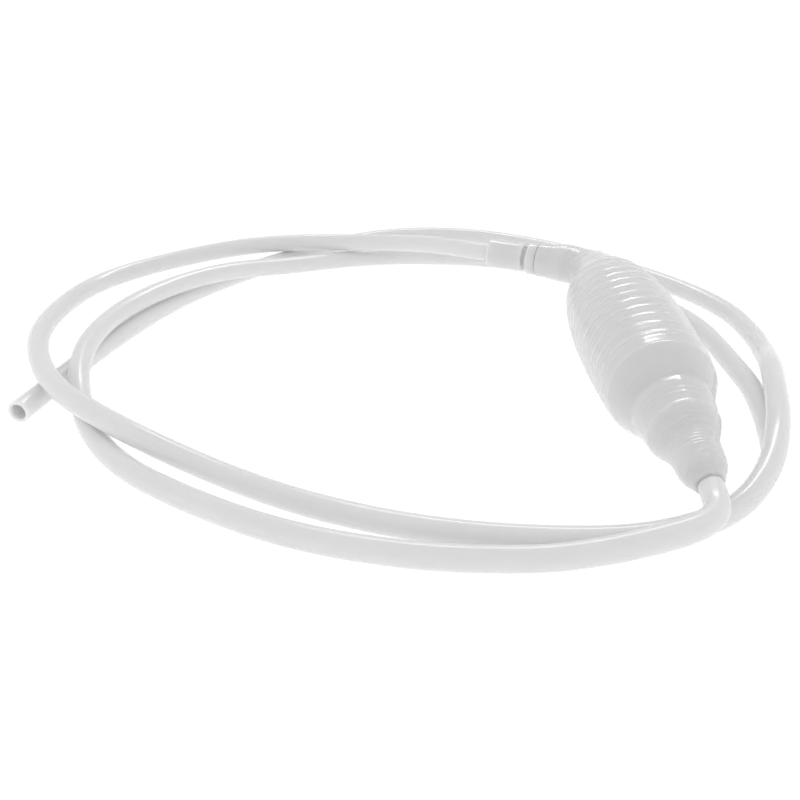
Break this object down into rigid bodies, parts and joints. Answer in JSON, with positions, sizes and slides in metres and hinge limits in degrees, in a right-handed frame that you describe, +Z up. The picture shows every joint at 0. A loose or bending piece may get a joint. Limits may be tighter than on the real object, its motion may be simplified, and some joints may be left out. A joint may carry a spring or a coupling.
{
  "type": "squeeze-bulb water siphon",
  "caption": "Hand siphon for an aquarium or pond: a soft ribbed squeeze bulb with one-way ball valves, an angled inlet coupler, and long soft hoses coiled on the floor.",
  "frame": {"origin": "bottom centre of the bulb and coupler without the hoses, on the surface the object lies on", "axes": "+Z up; +Y along the bulb's straight axis, from the outlet nozzle towards the inlet neck; +X to the side away from the hose loops"},
  "size_m": [0.3025, 0.3144, 0.0415],
  "materials": {
    "bulb_plastic": "soft milky polyethylene, satin gloss",
    "hose_plastic": "translucent soft hose, satin gloss",
    "coupler_plastic": "clear-white moulded, glossy",
    "ring_plastic": "clear-white moulded, glossy",
    "valve_plastic": "natural moulded, matte",
    "ball_plastic": "polished"
  },
  "bodies": {
    "pump": {"pump_bulb": "bulb_plastic", "inlet_coupler": "coupler_plastic", "lock_ring": "ring_plastic", "inlet_valve_body": "valve_plastic", "inlet_ball_stop": "valve_plastic", "outlet_valve_body": "valve_plastic", "outlet_ball_stop": "valve_plastic", "inlet_hose": "hose_plastic", "outlet_hose": "hose_plastic"},
    "inlet_ball": {"inlet_valve_ball": "ball_plastic"},
    "outlet_ball": {"outlet_valve_ball": "ball_plastic"}
  },
  "joints": [
    {"name": "inlet_ball_lift", "type": "slide", "parent": "pump", "child": "inlet_ball", "axis": [0.891, -0.454, 0], "range_m": [0, 0.0023]},
    {"name": "outlet_ball_lift", "type": "slide", "parent": "pump", "child": "outlet_ball", "axis": [0.0449, -0.9913, -0.1234], "range_m": [0, 0.0023]}
  ]
}
